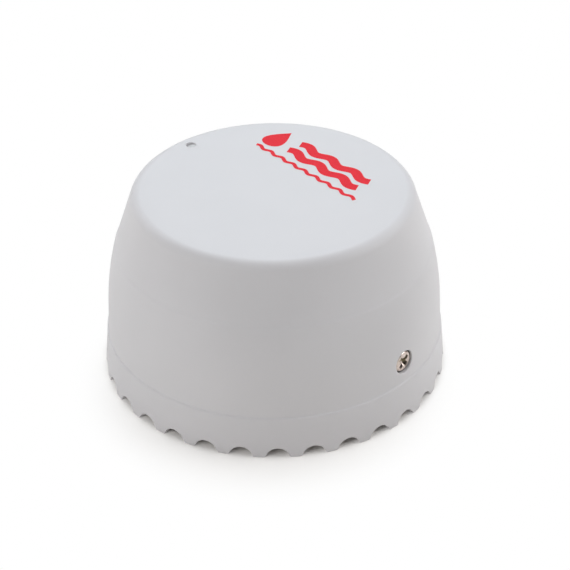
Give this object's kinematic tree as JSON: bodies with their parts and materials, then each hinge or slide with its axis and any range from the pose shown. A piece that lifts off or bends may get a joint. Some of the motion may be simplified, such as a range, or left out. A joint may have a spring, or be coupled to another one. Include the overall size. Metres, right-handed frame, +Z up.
{
  "type": "water leak sensor",
  "caption": "Round puck-shaped floor water leak sensor with a notched skirt, side locking screw and top indicator pinhole.",
  "frame": {"origin": "centre of the footprint, on the plane of the skirt's teeth", "axes": "+Z up through the top face, +X towards the side screw, with the indicator pinhole close to -X"},
  "size_m": [0.0649, 0.065, 0.0363],
  "materials": {
    "housing_plastic": "fine matte moulded texture, light grey",
    "base_plastic": "matte moulded, light grey",
    "print_ink": "thin printed mark, bright red",
    "seal_rubber": "black moulded rubber",
    "nickel_steel": "warm nickel plate",
    "tinned_steel": "bright tinned steel",
    "brass": "turned brass",
    "board": "green solder mask on glass epoxy",
    "black_plastic": "black moulded",
    "cell_wrap": "plain shrink sleeve",
    "led_lens": "tinted clear lens",
    "pipe_acrylic": "clear acrylic light pipe",
    "copper_wire": "enamelled copper wire",
    "capacitor_sleeve": "dark plastic sleeve"
  },
  "bodies": {
    "root": {"housing_shell": "housing_plastic", "base_chassis": "base_plastic", "main_seal": "seal_rubber", "side_screw_seal": "seal_rubber", "probe_seal_1": "seal_rubber", "probe_seal_2": "seal_rubber", "side_screw": "nickel_steel", "screw_insert": "brass", "probe_screw_1": "nickel_steel", "probe_screw_2": "nickel_steel", "probe_standoff_1": "brass", "probe_standoff_2": "brass", "circuit_board": "board", "pcb_screw_1": "tinned_steel", "pcb_screw_2": "tinned_steel", "pcb_screw_3": "tinned_steel", "pcb_screw_4": "tinned_steel", "battery_holder": "black_plastic", "battery": "cell_wrap", "positive_plate": "tinned_steel", "negative_plate": "tinned_steel", "negative_spring": "tinned_steel", "indicator_led": "led_lens", "light_pipe": "pipe_acrylic", "controller_chip": "black_plastic", "crystal": "tinned_steel", "antenna_coil": "copper_wire", "capacitor": "capacitor_sleeve"}
  },
  "joints": []
}
